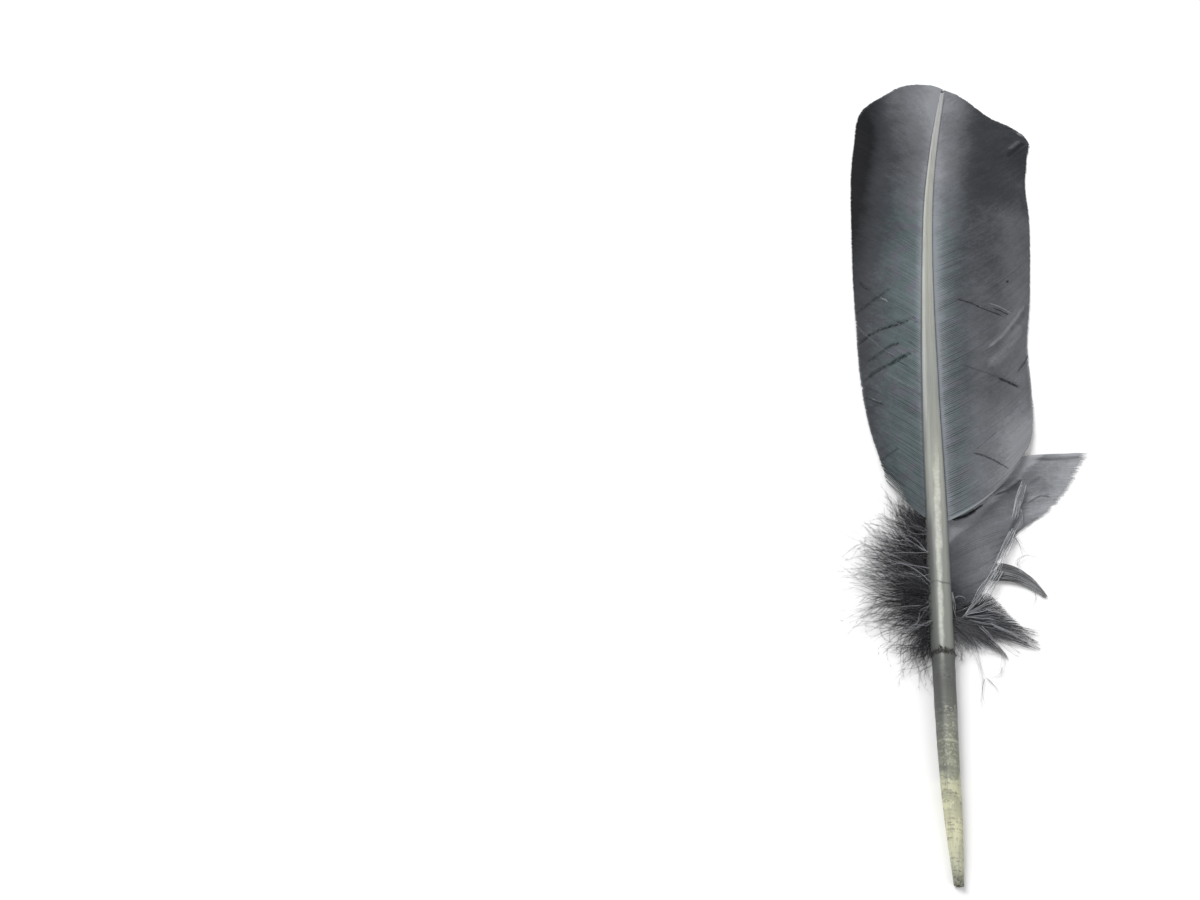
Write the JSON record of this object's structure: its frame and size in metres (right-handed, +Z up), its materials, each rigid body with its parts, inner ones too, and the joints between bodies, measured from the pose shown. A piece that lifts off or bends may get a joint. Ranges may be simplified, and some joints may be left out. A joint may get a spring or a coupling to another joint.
{
  "type": "goose quill feather",
  "caption": "Grey wing quill feather lying on its underside: tapered quill and rachis, two broad ridged vanes, a torn lower panel and tufts of down.",
  "frame": {"origin": "on the surface the feather lies on, below the middle of its outline", "axes": "+Y from the quill's end to the feather's tip, +X towards the broad right vane, +Z up"},
  "size_m": [0.0746, 0.294, 0.0097],
  "materials": {
    "shaft_keratin": "satin horn, pale grey-white rachis turning grey and then cream along the quill",
    "vane_barbs": "soft blue-grey barbs with a faint green sheen near the shaft",
    "down_fluff": "matt dark grey down"
  },
  "bodies": {
    "root": {"shaft": "shaft_keratin", "left_vane": "vane_barbs", "right_vane": "vane_barbs", "torn_panel": "vane_barbs", "left_down": "down_fluff", "right_down": "down_fluff"}
  },
  "joints": []
}
